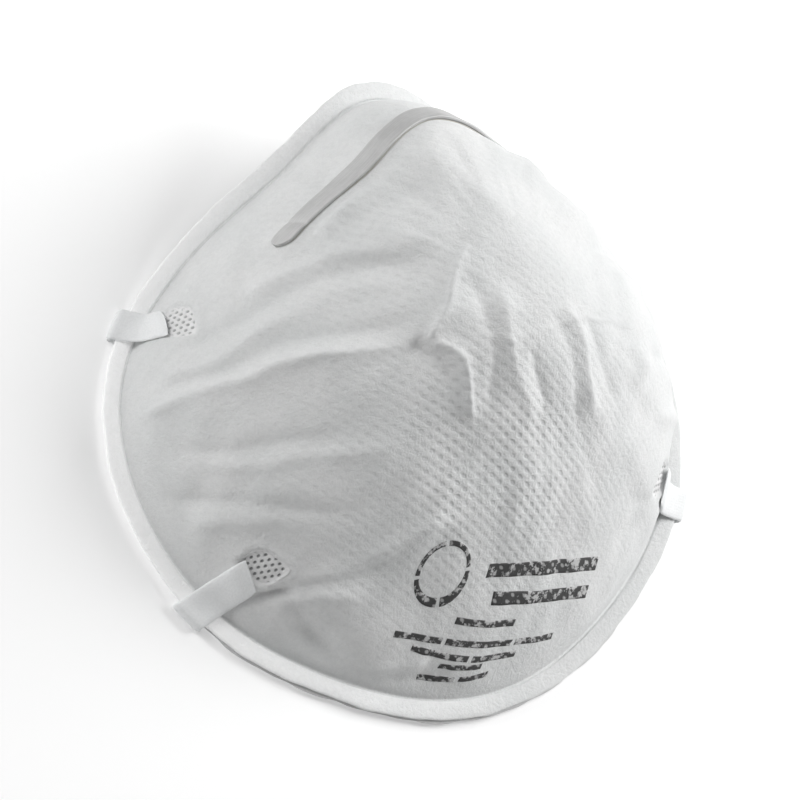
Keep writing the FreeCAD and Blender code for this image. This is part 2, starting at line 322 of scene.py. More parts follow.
def rise(angle, share, dips=True):
    # How far the cover stands off the plain dome: creases, drapes and soft lumps, none at the rim or the clip.
    x, y = flatPlace(angle, share)
    warpedX, warpedY = x + creases["warp"] * lumps(x, y, 0, 8), y + creases["warp"] * lumps(x, y, 8, 16)
    total = 0.09 * lumps(x, y, 16, 30) + 0.11 * drapes(angle, share)
    for crease in creases["lines"]:
        total += creases["scale"] * creaseShape(warpedX, warpedY, *crease)
    atRim = smooth((1.0 - share) / 0.045)
    turn = np.degrees(np.arccos(np.clip(np.sin(angle), -1, 1)))
    offClip = 1 - smooth((62 - turn) / 8) * smooth(1 - (np.abs(share - 0.83) - 0.045) / 0.04)
    total *= atRim * (0.25 + 0.75 * offClip)
    for strap in straps.values():
        edge = weldEdge(strap, angle, share)
        total *= 0.3 + 0.7 * smooth((edge - 0.9) / 0.8)
        if dips:
            total -= (0.45 + strap["sunk"]) * smooth((1.0 - edge) / 0.16) + 0.30 * smooth((0.97 - edge) / 0.16)
            total += strap["lip"] * np.exp(-((edge - 1.1) / 0.16) ** 2)
    return total


def onCover(turn, share, dips=True):
    # Place on the cover's outside, and the way out from it.
    normal = domeNormal(turn, share)
    return domePoint(turn, share) + normal * rise(turn, share, dips)[..., None], normal


# meshes

def ringFaces(rows, columns, start):
    # Quads of rows of points closed into rings.
    row, column = np.arange(rows - 1)[:, None], np.arange(columns)[None, :]
    here, after = start + row * columns, (column + 1) % columns
    quads = np.stack([here + column, here + after, here + columns + after, here + columns + column], -1)
    return quads.reshape(-1, 4)


def capFaces(columns, start, pole):
    # Triangles from a ring to the point that closes it.
    column = np.arange(columns)
    after = (column + 1) % columns
    return np.stack([start + column, start + after, np.full(columns, pole)], -1)


def closedTube(rings, flat):
    # Points, faces and flat places of a shape made of rings and closed by a point at each end.
    rows, columns = rings.shape[:2]
    points = np.concatenate([rings.reshape(-1, 3), rings[0].mean(0)[None], rings[-1].mean(0)[None]])
    quads = ringFaces(rows, columns, 0)
    first = capFaces(columns, 0, rows * columns)[:, ::-1]
    last = capFaces(columns, (rows - 1) * columns, rows * columns + 1)
    flat = np.concatenate([flat.reshape(-1, 2), flat[0].mean(0)[None], flat[-1].mean(0)[None]])
    return points, [quads, first, last], flat


def volume(points, faces):
    # Six times the signed volume, which is above zero where the faces point outwards.
    total = 0.0
    for group in faces:
        for k in range(1, group.shape[1] - 1):
            a, b, c = points[group[:, 0]], points[group[:, k]], points[group[:, k + 1]]
            total += (a * np.cross(b, c)).sum()
    return total


def makePiece(name, shapes, material, values=None):
    # One smooth-shaded object out of closed shapes, each a (points, faces, flat) triple in millimetres.
    points, faces, flats, start = [], [], [], 0
    for shapePoints, shapeFaces, flat in shapes:
        if volume(shapePoints, shapeFaces) < 0:
            shapeFaces = [group[:, ::-1] for group in shapeFaces]
        points.append(shapePoints)
        faces += [group + start for group in shapeFaces]
        flats.append(flat)
        start += len(shapePoints)
    points, flats = np.concatenate(points), np.concatenate(flats)
    mesh = bpy.data.meshes.new(name)
    sizes = np.concatenate([np.full(len(group), group.shape[1]) for group in faces])
    corners = np.concatenate([group.ravel() for group in faces])
    mesh.vertices.add(len(points))
    mesh.vertices.foreach_set("co", (points * scale).astype(np.float32).ravel())
    mesh.loops.add(len(corners))
    mesh.loops.foreach_set("vertex_index", corners.astype(np.int32))
    mesh.polygons.add(len(sizes))
    mesh.polygons.foreach_set("loop_start", np.concatenate([[0], np.cumsum(sizes)[:-1]]).astype(np.int32))
    mesh.polygons.foreach_set("loop_total", sizes.astype(np.int32))
    mesh.polygons.foreach_set("use_smooth", np.ones(len(sizes), bool))
    layer = mesh.uv_layers.new(name="flat")
    layer.data.foreach_set("uv", flats[corners].astype(np.float32).ravel())
    for key, numbers in (values or {}).items():
        layer = mesh.attributes.new(key, "FLOAT", "POINT")
        layer.data.foreach_set("value", numbers.astype(np.float32))
    mesh.update()
    mesh.validate()
    mesh.materials.append(material)
    piece = bpy.data.objects.new(name, mesh)
    bpy.context.scene.collection.objects.link(piece)
    print(name, "faces", len(sizes))
    return piece


# materials

def newMaterial(name, flat=False):
    # Material, its nodes and shader, and the places its patterns read: the object's own or the flat map's.
    material = bpy.data.materials.new(name)
    material.use_nodes = True
    tree = material.node_tree
    place = flatUv(tree) if flat else node(tree, "ShaderNodeTexCoord").outputs["Object"]
    return material, tree, tree.nodes["Principled BSDF"], place


def node(tree, kind, sockets=None, **settings):
    # New node with its settings; sockets are values, or outputs to link from.
    made = tree.nodes.new(kind)
    for key, value in settings.items():
        setattr(made, key, value)
    for key, value in (sockets or {}).items():
        if isinstance(value, bpy.types.NodeSocket):
            tree.links.new(value, made.inputs[key])
        else:
            made.inputs[key].default_value = value
    return made


def maths(tree, operation, *values):
    return node(tree, "ShaderNodeMath", dict(enumerate(values)), operation=operation).outputs[0]


def ramp(tree, value, low, high, fromLow=0.0, fromHigh=1.0):
    sockets = {"Value": value, "From Min": fromLow, "From Max": fromHigh, "To Min": low, "To Max": high}
    return node(tree, "ShaderNodeMapRange", sockets, interpolation_type="SMOOTHSTEP").outputs[0]


def mixColour(tree, share, first, second):
    made = node(tree, "ShaderNodeMix", data_type="RGBA")
    for socket, value in ((made.inputs[0], share), (made.inputs[6], first), (made.inputs[7], second)):
        if isinstance(value, bpy.types.NodeSocket):
            tree.links.new(value, socket)
        else:
            socket.default_value = value
    return made.outputs[2]


def noise(tree, place, size, **others):
    sockets = {"Vector": place, "Scale": size}
    sockets.update(others)
    return node(tree, "ShaderNodeTexNoise", sockets).outputs["Fac"]


def attribute(tree, name):
    return node(tree, "ShaderNodeAttribute", attribute_name=name).outputs["Fac"]


def flatUv(tree):
    return node(tree, "ShaderNodeUVMap", uv_map="flat").outputs[0]


def bumped(tree, shader, height, distance=1.0, strength=1.0):
    bump = node(tree, "ShaderNodeBump", {"Height": height, "Distance": distance, "Strength": strength})
    tree.links.new(bump.outputs[0], shader.inputs["Normal"])


def setSockets(shader, values):
    for key, value in values.items():
        shader.inputs[key].default_value = value


def coloured(tree, shader, share, first, second):
    tree.links.new(mixColour(tree, share, first, second), shader.inputs["Base Color"])


def grey(level, tint=(1.0, 1.0, 1.0)):
    return (level * tint[0], level * tint[1], level * tint[2], 1.0)


emboss = {
    "first": (1.98, -1.80),    # from one dot to the next along a row, mm on the flat fabric
    "second": (-1.70, -1.10),  # from one row to the next
    "flatScale": 0.005,        # flat place in mm to UV
    "threads": 0.22,
}


def embossDots(tree):
    # Rounded dots of the rollers: the two waves across the rows add up where a dot lies.
    place = flatUv(tree)
    (ax, ay), (bx, by) = emboss["first"], emboss["second"]
    size = emboss["flatScale"] * (ax * by - ay * bx)
    crests = []
    for x, y in ((by, -bx), (-ay, ax)):
        vector = (2 * np.pi * x / size, 2 * np.pi * y / size, 0.0)
        dot = node(tree, "ShaderNodeVectorMath", {0: place, 1: vector}, operation="DOT_PRODUCT")
        crests.append(maths(tree, "COSINE", dot.outputs["Value"]))
    dots = ramp(tree, maths(tree, "ADD", *crests), 0.0, 1.0, 0.1, 1.8)
    # threads stand up between the rows
    return maths(tree, "MULTIPLY_ADD", crests[1], emboss["threads"], dots)


def fabric(name, look):
    # Nonwoven: matted fibres at two sizes, roller dots that come and go, slightly darker pits, and painted light
    # on the rim: a lighter colour and a glow, strongest on its -x side.
    material, tree, shader, place = newMaterial(name)
    fibres = noise(tree, place, look["fibre"], Detail=5.0, Roughness=0.7)
    clouds = noise(tree, place, look["cloud"], Detail=3.0, Roughness=0.55)
    patches = ramp(tree, noise(tree, place, look["patch"], Detail=2.0, Roughness=0.5), 0.55, 1.0, 0.38, 0.62)
    strength = maths(tree, "MULTIPLY", patches, attribute(tree, "pit"))
    dots = maths(tree, "MULTIPLY", embossDots(tree), strength)
    threads = noise(tree, place, look["thread"], Detail=3.0, Distortion=2.5)
    creamy = mixColour(tree, ramp(tree, clouds, 0.0, 1.0, 0.3, 0.7), look["colour"], look["thin"])
    # painted light: the pressed attribute lifts the rim's colour towards grey 0.93, most on the -x side where the
    # dome shades the rim
    pressed = attribute(tree, "pressed")
    creamy = mixColour(tree, pressed, creamy, grey(0.93))
    grains = noise(tree, place, look["fibre"] * 2.6, Detail=3.0, Roughness=0.8)
    mixed = maths(tree, "MULTIPLY_ADD", grains, 0.5, maths(tree, "MULTIPLY", fibres, 0.5))
    mottled = mixColour(tree, ramp(tree, mixed, 0.0, look["mottle"], 0.38, 0.66), creamy, look["shade"])
    coloured(tree, shader, maths(tree, "MULTIPLY", dots, look["pitShade"]), mottled, look["shade"])
    height = maths(tree, "MULTIPLY", threads, look["threadHeight"])
    height = maths(tree, "MULTIPLY_ADD", fibres, look["fibreHeight"], height)
    height = maths(tree, "MULTIPLY_ADD", grains, look["fibreHeight"] * 0.6, height)
    height = maths(tree, "MULTIPLY_ADD", dots, -look["dotDepth"], height)
    bumped(tree, shader, height)
    # painted light: the rim glows on its -x side, where the dome shades it, fading to none on the +x side
    tree.links.new(maths(tree, "MULTIPLY", pressed, look["through"]), shader.inputs["Emission Strength"])
    setSockets(shader, {"Emission Color": grey(1.0), "Roughness": look["roughness"], "Specular IOR Level": 0.25})
    setSockets(shader, {"Sheen Weight": look["sheen"], "Sheen Roughness": 0.5})
    return material


coverLook = {
    "colour": grey(0.84, (0.995, 1.0, 0.998)),
    "thin": grey(0.79, (0.985, 1.0, 0.998)),
    "shade": grey(0.60, (0.985, 1.0, 1.0)),
    "mottle": 0.26, "pitShade": 0.44, "fibre": 900.0, "thread": 420.0, "patch": 90.0, "cloud": 60.0,
    "fibreHeight": 0.00020, "threadHeight": 0.00014, "dotDepth": 0.00016,
    # the last value is the strength of the painted glow on the rim's -x side
    "roughness": 0.9, "sheen": 0.12, "through": 0.24,
}
filterLook = dict(coverLook, colour=grey(0.9), thin=grey(0.86), fibre=1600.0, pitShade=0.1, dotDepth=0.00002)
shellLook = dict(
    coverLook, colour=grey(0.78), thin=grey(0.72), fibre=500.0, fibreHeight=0.0004, pitShade=0.1, dotDepth=0.00005
)
liningLook = dict(
    coverLook, colour=grey(0.80), thin=grey(0.75), fibre=1100.0, pitShade=0.4, dotDepth=0.00014, mottle=0.35
)
print("materials: fabric")

coverFabric = fabric("coverFabric", coverLook)
filterFabric = fabric("filterFabric", filterLook)
shellFabric = fabric("shellFabric", shellLook)
liningFabric = fabric("liningFabric", liningLook)


def elasticBand():
    # Flat elastic: fine lengthwise ribs and a slight cross weave on the band's own flat places.
    material, tree, shader, place = newMaterial("elasticBand", flat=True)
    parts = node(tree, "ShaderNodeSeparateXYZ", {0: place}).outputs
    ribs = maths(tree, "COSINE", maths(tree, "MULTIPLY", parts[1], 2 * np.pi / (0.62 * emboss["flatScale"])))
    picks = maths(tree, "COSINE", maths(tree, "MULTIPLY", parts[0], 2 * np.pi / (0.9 * emboss["flatScale"])))
    fuzz = noise(tree, place, 420.0, Detail=5.0, Roughness=0.65)
    weave = maths(tree, "MULTIPLY_ADD", picks, 0.35, ribs)
    height = maths(tree, "MULTIPLY_ADD", fuzz, 0.00010, maths(tree, "MULTIPLY", weave, 0.000006))
    bumped(tree, shader, height)
    pale, deep = grey(0.93, (0.985, 0.997, 1.0)), grey(0.87, (0.98, 0.995, 1.0))
    coloured(tree, shader, ramp(tree, fuzz, 0.0, 0.8, 0.35, 0.68), pale, deep)
    setSockets(shader, {"Roughness": 0.62, "Specular IOR Level": 0.35, "Sheen Weight": 0.08})
    return material


def weldedBand():
    # Band crushed by the welding horn: clearer and darker at the bottom of each dot.
    material, tree, shader, place = newMaterial("weldedBand")
    pits = attribute(tree, "pit")
    fuzz = noise(tree, place, 1000.0, Detail=4.0)
    plain = mixColour(tree, ramp(tree, fuzz, 0.0, 0.8, 0.35, 0.68), grey(0.83), grey(0.74))
    coloured(tree, shader, pits, plain, grey(0.30, (0.97, 1.0, 1.0)))
    bumped(tree, shader, fuzz, 0.00012)
    setSockets(shader, {"Roughness": 0.6})
    return material


def clipAluminium():
    # Annealed aluminium strip: grey rolled grain along the strip, a few scuffs.
    material, tree, shader, place = newMaterial("clipAluminium", flat=True)
    grain = node(tree, "ShaderNodeMapping", {"Vector": place, "Scale": (30.0, 900.0, 1.0)}).outputs[0]
    lines = noise(tree, grain, 1.0, Detail=4.0, Roughness=0.6)
    scuffs = noise(tree, place, 60.0, Detail=5.0, Roughness=0.7)
    tone = maths(tree, "MULTIPLY_ADD", lines, 0.5, maths(tree, "MULTIPLY", scuffs, 0.5))
    dull, bright = grey(0.52, (1.0, 1.0, 0.995)), grey(0.63, (1.0, 1.0, 0.995))
    coloured(tree, shader, ramp(tree, tone, 0.0, 1.0, 0.35, 0.65), dull, bright)
    bumped(tree, shader, tone, 0.00005, 0.6)
    setSockets(shader, {"Metallic": 0.35})
    tree.links.new(ramp(tree, scuffs, 0.48, 0.66, 0.3, 0.7), shader.inputs["Roughness"])
    return material


def clearGlue():
    # Hot melt: honey-clear, smooth with faint bubbles.
    material, tree, shader, place = newMaterial("clearGlue")
    bubbles = noise(tree, place, 700.0, Detail=3.0)
    coloured(tree, shader, bubbles, grey(0.62, (1.0, 0.98, 0.92)), grey(0.5, (1.0, 0.97, 0.88)))
    bumped(tree, shader, bubbles, 0.0001, 0.5)
    setSockets(shader, {"Roughness": 0.3})
    return material


def softFoam():
    # Open-cell foam: small round pores pressed into a pale grey skin.
    material, tree, shader, place = newMaterial("softFoam")
    cells = node(tree, "ShaderNodeTexVoronoi", {"Vector": place, "Scale": 2600.0}).outputs["Distance"]
    large = node(tree, "ShaderNodeTexVoronoi", {"Vector": place, "Scale": 1150.0}).outputs["Distance"]
    pores = maths(tree, "MULTIPLY", ramp(tree, cells, 0.0, 1.0, 0.05, 0.5), ramp(tree, large, 0.2, 1.0, 0.1, 0.45))
    coloured(tree, shader, pores, grey(0.50), grey(0.76, (1.0, 1.0, 0.98)))
    bumped(tree, shader, pores, 0.0004)
    setSockets(shader, {"Roughness": 0.95})
    return material


def stampedInk():
    # Worn stamp ink: solid between the roller dots, missing where the fabric dips or the stamp skipped.
    material, tree, shader, place = newMaterial("stampedInk")
    skips = noise(tree, place, 520.0, Detail=5.0, Roughness=0.7)
    dots = maths(tree, "MULTIPLY", embossDots(tree), 0.5)
    missing = maths(tree, "ADD", ramp(tree, skips, 0.0, 1.0, 0.50, 0.62), dots)
    coloured(tree, shader, ramp(tree, missing, 0.0, 1.0, 0.2, 0.9), grey(0.055), grey(0.55))
    bumped(tree, shader, skips, 0.0002)
    setSockets(shader, {"Roughness": 0.8})
    return material


bandElastic, bandWelded, clipMetal = elasticBand(), weldedBand(), clipAluminium()
glueClear, foamSoft, inkStamped = clearGlue(), softFoam(), stampedInk()
print("materials: band, clip, glue, foam, ink")

# cup layers

layers = {
    # name: depth of its outside and inside, pressed depths, edge past the rim, rows down the dome, columns
    "outerCover": {"depth": (0.0, 0.4), "pressed": (0.0, 0.25), "edge": 0.05, "rows": (150, 44), "columns": 400},
    "filterMedia": {"depth": (0.4, 0.9), "pressed": (0.25, 0.40), "edge": -1.1, "rows": (60, 60), "columns": 240},
    "mouldedShell": {"depth": (0.9, 1.9), "pressed": (0.40, 0.80), "edge": -1.0, "rows": (60, 60), "columns": 240},
    "innerLining": {"depth": (1.9, 2.2), "pressed": (0.80, 1.0), "edge": -0.55, "rows": (60, 110), "columns": 360},
}


def rimWave(angle, first, size):
    # Unevenness of a cut edge: short waves round the rim.
    total = np.zeros(angle.shape)
    for k, count in enumerate((11, 19, 31, 47, 79)):
        total += np.sin(count * angle + 1.7 * (k + first) ** 1.5) / (1 + 0.35 * k)
    return size * total / 1.9


def domeSheet(angle, shares, depth, pressed):
    # Rows of a layer's face: the plain dome plus the cover's rise, a little less of it further in.
    grid = np.meshgrid(shares, angle, indexing="ij")
    share, turn = grid[0], grid[1]
    stand = rise(turn, share) * (1 - 0.16 * depth)
    places = domePoint(turn, share, depth, pressed) + domeNormal(turn, share, depth, pressed) * stand[..., None]
    return places, np.stack(flatPlace(turn, share), -1)


def rimRow(angle, across, height):
    # Points across the pressed rim: across is mm out from the foot of the dome, height mm above its underside.
    radius = rimRadius(angle) - cup["rimWidth"] + across
    places = [radius * np.cos(angle), radius * np.sin(angle) + cup["middleY"], rimHeight(angle) + height]
    return np.stack(places, -1)


bead = {"middle": 2.55, "half": 1.75, "rise": 0.42, "groove": 0.30}


def beadRows(angle, spread):
    # Rim face of the cover: a pressed groove at the dome's foot, then a rounded roll down to the cut edge.
    wave, roll = rimWave(angle, 3, 0.20), 1 + rimWave(angle, 7, 0.14)
    rows = []
    for across in (0.12, 0.3, 0.55, 0.75):
        sink = bead["groove"] * np.sin(np.pi * min(across / 0.8, 1)) ** 0.7
        rows.append(rimRow(angle, across + 0 * angle, 1.0 - sink))
    for turn in np.radians(np.linspace(172, 0, 16)):
        across = bead["middle"] + (bead["half"] + spread) * np.cos(turn) + wave * (0.5 + 0.5 * np.cos(turn)) ** 2
        across = across + 0.10 * rimWave(angle, 11, 1.0) * (0.5 - 0.5 * np.cos(turn))
        height = 0.92 + bead["rise"] * roll * np.sin(turn) ** 0.85
        rows.append(rimRow(angle, across, height))
    edge = bead["middle"] + bead["half"] + spread + wave
    for step, height in ((0.01, 0.70), (0.04, 0.50), (0.10, 0.34), (0.22, 0.24)):
        rows.append(rimRow(angle, edge - step, height))
    return np.stack(rows)


def dotStrength(flat, share):
    # How deep the roller dots show: deepest low in the middle, stretched out towards the rim.
    x, y = flat[..., 0], flat[..., 1]
    deep = np.exp(-((x + 4) / np.where(x > -4, 27, 34)) ** 2 - ((y + 36) / 26) ** 2)
    high = 0.22 * np.exp(-((x + 22) / 20) ** 2 - ((y - 22) / 22) ** 2)
    return (0.10 + 0.90 * deep + high) * smooth((0.99 - share) / 0.08)


def layerPiece(name, material, nodeName):
    # Closed layer: outside dome, rim face, cut edge, rim underside, inside dome.
    size = layers[name]
    angle = np.linspace(0, 2 * np.pi, size["columns"], endpoint=False)
    outsideShares = np.sin(0.5 * np.pi * np.linspace(0.004, 1, size["rows"][0]) ** 1.06)
    insideShares = np.sin(0.5 * np.pi * np.linspace(0.01, 1, size["rows"][1]))[::-1]
    outside, flatOut = domeSheet(angle, outsideShares, size["depth"][0], size["pressed"][0])
    inside, flatIn = domeSheet(angle, insideShares, size["depth"][1], size["pressed"][1])
    if name == "outerCover":
        rim = beadRows(angle, size["edge"])
        under = [rimRow(angle, bead["middle"] + 0.8 + 0 * angle, 0.76), rimRow(angle, 0.9 + 0 * angle, 0.76)]
    else:
        edge = cup["rimWidth"] + size["edge"] + rimWave(angle, 5, 0.1)
        if name == "innerLining":  # its cut edge strays past the cover near the chin
            fromChin = np.abs(np.degrees(np.arctan2(-np.cos(angle), -np.sin(angle))))
            edge = edge + (0.95 + rimWave(angle, 9, 0.3)) * smooth((75 - fromChin) / 30)
        top, low = 1.0 - size["pressed"][0] - 0.01, 1.0 - size["pressed"][1] + 0.01
        rim = [rimRow(angle, 0.9 + 0 * angle, top), rimRow(angle, edge - 0.12, top)]
        rim += [rimRow(angle, edge, 0.5 * (top + low)), rimRow(angle, edge - 0.12, low)]
        under = [rimRow(angle, 0.9 + 0 * angle, low)]
    middle = np.concatenate([np.stack(list(rim)), np.stack(under)])
    rings = np.concatenate([outside, middle, inside])
    reach = np.hypot(flatOut[-1, :, 0], flatOut[-1, :, 1])[None, :]
    radial = np.hypot(middle[..., 0], middle[..., 1] - cup["middleY"]) - baseRadius(angle)[None, :]
    flatMiddle = (reach + radial)[..., None] * np.stack([np.cos(angle), np.sin(angle)], -1)[None]
    flat = np.concatenate([flatOut, flatMiddle, flatIn]) * emboss["flatScale"] + 0.5
    shares = np.concatenate([outsideShares, np.ones(len(middle)), insideShares])[:, None] + 0 * angle[None, :]
    dots = dotStrength(np.concatenate([flatOut, flatMiddle, flatIn]), shares)
    dots = np.concatenate([dots.ravel(), dots[0, :1], dots[-1, :1]])
    # painted light on the rim rows: none on the +x side, rising to full on the -x side where the dome shades the
    # rim; it lightens the colour and makes the fabric glow there
    paintedRimLight = np.zeros(rings.shape[:2])
    paintedRimLight[len(outside) + 3:-len(inside)] = (0.5 - 0.5 * np.cos(angle)) ** 3
    paintedRimLight = np.concatenate([paintedRimLight.ravel(), [0, 0]])
    piece = makePiece(name, [closedTube(rings, flat)], material, values={"pit": dots, "pressed": paintedRimLight})
    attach(piece, "cup")
    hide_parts(nodeName)
    return piece


layerPiece("outerCover", coverFabric, "outer_cover")
layerPiece("filterMedia", filterFabric, "filter_media")
layerPiece("mouldedShell", shellFabric, "moulded_shell")
layerPiece("innerLining", liningFabric, "inner_lining")
print("cup layers done")

# nose clip, glue and foam

# level: depth and pressed depth of the face it lies on; out: 1 outside the cup, -1 inside
# tip: length of its rounded ends, half its width where there is none
clip = {
    "share": 0.83, "halfAngle": 57.0, "width": 4.6, "thickness": 0.8, "glueStart": 0.06, "glue": 0.15,
    "level": (0.0, 0.0), "out": 1, "tip": None,
}
foam = {
    "share": 0.86, "halfAngle": 52.0, "width": 11.0, "thickness": 4.0,
    "level": (2.2, 1.0), "out": -1, "tip": 4.5,
}
clipBack = clip["glueStart"] + clip["glue"]
clipFront = clipBack + clip["thickness"]
foamFront = clipBack + foam["thickness"]


def rounded(wave, power):
    return np.sign(wave) * np.abs(wave) ** power


def strip(size, near, far, shape, rows=150, columns=32, relief=None):
    # Strip bent round the nose: a rounded section carried along the dome, closed by rounded ends.
    # shape is (roundness across, roundness of the height, crown); relief adds to the height.
    share, width = size["share"], size["width"]
    along = rounded(np.sin(0.5 * np.pi * np.linspace(-1, 1, rows)) * 0.999, 0.92)
    turn = np.radians(90 + size["halfAngle"] * along)
    around = np.linspace(0, 2 * np.pi, columns, endpoint=False)
    across, height = rounded(np.cos(around), shape[0]), rounded(np.sin(around), shape[1])
    step = 0.01
    here = domePoint(turn, share + 0 * turn, *size["level"])
    slope = np.linalg.norm(domePoint(turn, share + step + 0 * turn, *size["level"]) - here, axis=-1) / step
    length = np.concatenate([[0], np.cumsum(np.linalg.norm(np.diff(here, axis=0), axis=-1))])
    fromEnd = np.minimum(length, length[-1] - length)
    tip = size["tip"] or 0.5 * width
    ends = np.sqrt(np.clip(1 - np.clip(1 - (fromEnd + 0.02) / tip, 0, 1) ** 2, 0, 1))
    offset = 0.5 * width * across[None, :] * ends[:, None]
    places = share + offset / slope[:, None]
    turns = np.repeat(turn[:, None], columns, 1)
    full = (far - near) * (1 if shape[2] == 0 else ends ** 0.6)
    crown = 1 - shape[2] * np.abs(across) ** 2
    height = 1 + height * np.where(height > 0, crown, 1.0)
    lift = near + 0.5 * (full * np.ones(rows))[:, None] * height[None, :]
    if relief:
        lift = lift + relief(lift, fromEnd[:, None], across[None, :])
    base, normal = domePoint(turns, places, *size["level"]), domeNormal(turns, places, *size["level"])
    flat = np.stack([np.repeat(length[:, None], columns, 1), offset], -1) * emboss["flatScale"]
    return closedTube(base + size["out"] * normal * lift[..., None], flat)


def crimped(lift, fromEnd, across):
    # A pressed line near each end and a faint ripple, on the outside of the clip.
    line = 0.22 * np.exp(-((fromEnd - 6.0) / 0.45) ** 2)
    return np.where(lift > 0.5 * (clipBack + clipFront), 0.05 * np.sin(fromEnd * 0.7) - line, 0.0)


def dimpled(lift, fromEnd, across):
    # Soft hollows on the foam's free face.
    return 0.12 * np.sin(fromEnd * 1.1) * np.cos(2.2 * across) * (lift > clipBack + 1.5)


clipShape = strip(clip, clipBack, clipFront, (0.22, 0.55, 0.0), relief=crimped)
noseClip = makePiece("noseClip", [clipShape], clipMetal)
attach(noseClip, "cup")
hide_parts("nose_clip")

glueSection = (0.3, 0.7, 0.0)
underClip = dict(clip, halfAngle=clip["halfAngle"] - 0.3, width=clip["width"] + 0.1)
clipGlue = makePiece("clipGlue", [strip(underClip, -0.25, clipBack + 0.01, glueSection)], glueClear)
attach(clipGlue, "cup")
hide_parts("clip_glue")

foamShape = strip(foam, clipBack, foamFront, (0.45, 0.5, 0.22), 170, 56, dimpled)
noseFoam = makePiece("noseFoam", [foamShape], foamSoft)
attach(noseFoam, "cup")
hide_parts("nose_foam")

underFoam = dict(foam, width=foam["width"] - 0.6)
foamGlue = makePiece("foamGlue", [strip(underFoam, -0.2, clipBack + 0.01, glueSection)], glueClear)
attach(foamGlue, "cup")
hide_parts("foam_glue")
print("nose clip and foam done")

# head straps

def strapPlace(strap, inwards, sideways):
    # Place in plan along and across a strap's line, from where it crosses the rim edge.
    heading = np.radians(strap["heading"])
    x = strap["rim"][0] - inwards * np.cos(heading) - sideways * np.sin(heading)
    y = strap["rim"][1] - inwards * np.sin(heading) + sideways * np.cos(heading)
    return x, y


def rimPlace(strap, sideways):
    # How far inwards along the strap's line the rim edge lies.
    def outsideRim(inwards):
        x, y = strapPlace(strap, inwards, sideways)
        return np.hypot(x, y) > rimRadius(np.arctan2(y, x))
    return halved(-8.0 + 0 * sideways, 8.0 + 0 * sideways, outsideRim)


def wallPlace(strap, sideways, height):
    # How far inwards along the strap's line the plain dome passes a height.
    def lower(inwards):
        x, y = strapPlace(strap, inwards, sideways)
        turn = np.arctan2(y, x)
        share = np.hypot(x, y) / baseRadius(turn)
        return (share > 1) | (domePoint(turn, np.minimum(share, 1))[..., 2] < height)
    return halved(cup["rimWidth"] + 0 * sideways, 30.0 + 0 * sideways, lower)


def onWall(strap, sideways, height):
    # Angle and share of the dome where the strap's line meets a height.
    x, y = strapPlace(strap, wallPlace(strap, sideways, height), sideways)
    turn = np.arctan2(y, x)
    return turn, np.hypot(x, y) / baseRadius(turn)


